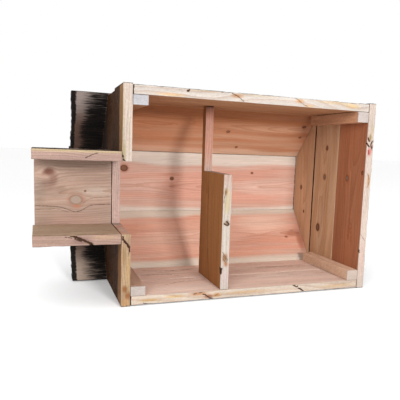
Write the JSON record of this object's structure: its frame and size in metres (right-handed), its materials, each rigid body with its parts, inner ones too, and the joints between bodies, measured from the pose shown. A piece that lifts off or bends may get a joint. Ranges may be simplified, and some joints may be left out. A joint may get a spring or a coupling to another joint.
{
  "type": "wildlife ground shelter",
  "caption": "Timber ground shelter with an open base, an entrance tunnel, a partition with an inner doorway and a lift-off roof, lying on its side.",
  "frame": {"origin": "middle of the bottom of the whole object's box, as the shelter lies on its right wall", "axes": "+X along the length from the entrance tunnel to the rear wall, +Y from the open base towards the roof, +Z up through the left wall. In use the shelter is turned a quarter turn about X so that +Y points up and the open base stands on the ground."},
  "size_m": [0.879, 0.4024, 0.504],
  "materials": {
    "wall_boards": "rough-sawn inside, flame-charred outside",
    "inner_boards": "rough-sawn, untreated",
    "tunnel_boards": "rough-sawn inside, flame-charred outside",
    "roof_boards": "rough-sawn inside, flame-charred outside",
    "screws": "zinc plated"
  },
  "bodies": {
    "house": {"left_wall_base_board": "wall_boards", "left_wall_eaves_board": "wall_boards", "right_wall_base_board": "wall_boards", "right_wall_eaves_board": "wall_boards", "rear_wall_base_board": "wall_boards", "rear_wall_eaves_board": "wall_boards", "front_wall_base_board_left": "wall_boards", "front_wall_base_board_right": "wall_boards", "front_wall_lintel_board": "wall_boards", "front_left_batten": "inner_boards", "front_right_batten": "inner_boards", "rear_left_batten": "inner_boards", "rear_right_batten": "inner_boards", "partition_board": "inner_boards", "tunnel_left_board": "tunnel_boards", "tunnel_right_board": "tunnel_boards", "tunnel_roof_board": "tunnel_boards", "left_wall_screws": "screws", "right_wall_screws": "screws", "front_wall_screws": "screws", "rear_wall_screws": "screws", "partition_screws": "screws", "tunnel_end_screws": "screws", "tunnel_roof_screws": "screws"},
    "roof": {"roof_left_board": "roof_boards", "roof_ridge_board": "roof_boards", "roof_right_board": "roof_boards", "front_gable_board": "roof_boards", "rear_gable_board": "roof_boards", "roof_left_screws": "screws", "roof_ridge_screws": "screws", "roof_right_screws": "screws"}
  },
  "joints": [
    {"name": "roof_lift", "type": "slide", "parent": "house", "child": "roof", "axis": [0, 1, 0], "range_m": [0, 0.16]}
  ]
}
